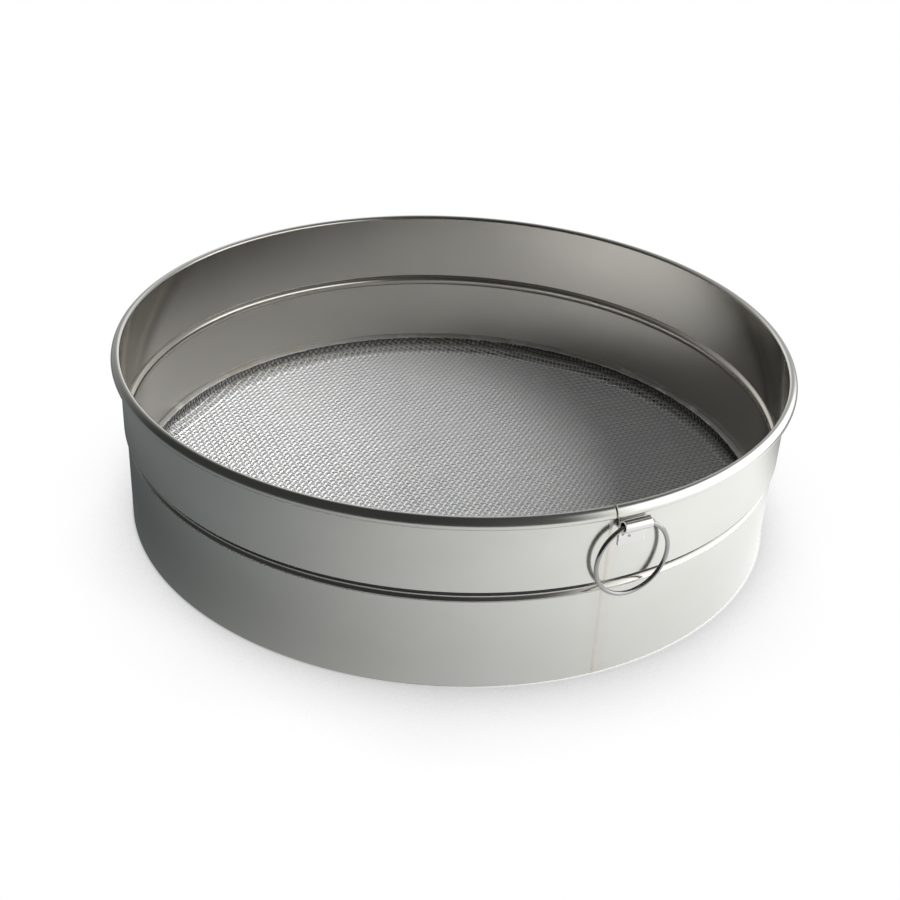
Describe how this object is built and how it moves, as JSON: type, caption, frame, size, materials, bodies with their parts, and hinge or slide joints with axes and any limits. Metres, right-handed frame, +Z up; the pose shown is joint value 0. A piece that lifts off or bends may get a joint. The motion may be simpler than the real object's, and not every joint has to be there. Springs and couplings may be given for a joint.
{
  "type": "test sieve",
  "caption": "Round stainless steel test sieve: a rolled hoop with wired rim and bead, a soldered disc of woven wire cloth, and a loose hanging ring.",
  "frame": {"origin": "on the hoop's axis, in the plane of its bottom edge", "axes": "+Z up through the rim; the hanging ring is on the -Y side and swings about an axis along X"},
  "size_m": [0.3, 0.3013, 0.079],
  "materials": {
    "hoop_sheet": "rolled bright stainless sheet, softly polished",
    "drawn_wire": "drawn stainless wire",
    "woven_cloth": "plain-woven bright wire",
    "solder": "dull hand-run tin solder",
    "strap_sheet": "polished stainless strip",
    "ring_wire": "bright drawn wire"
  },
  "bodies": {
    "sieve": {"hoop": "hoop_sheet", "rim_wire": "drawn_wire", "wire_cloth": "woven_cloth", "solder_seam": "solder", "ring_strap": "strap_sheet"},
    "ring": {"hang_ring": "ring_wire"}
  },
  "joints": [
    {"name": "ring_swing", "type": "hinge", "parent": "sieve", "child": "ring", "pos_m": [0, -0.1488, 0.0695], "axis": [-1, 0, 0], "range_deg": [-2.5, 165]}
  ]
}
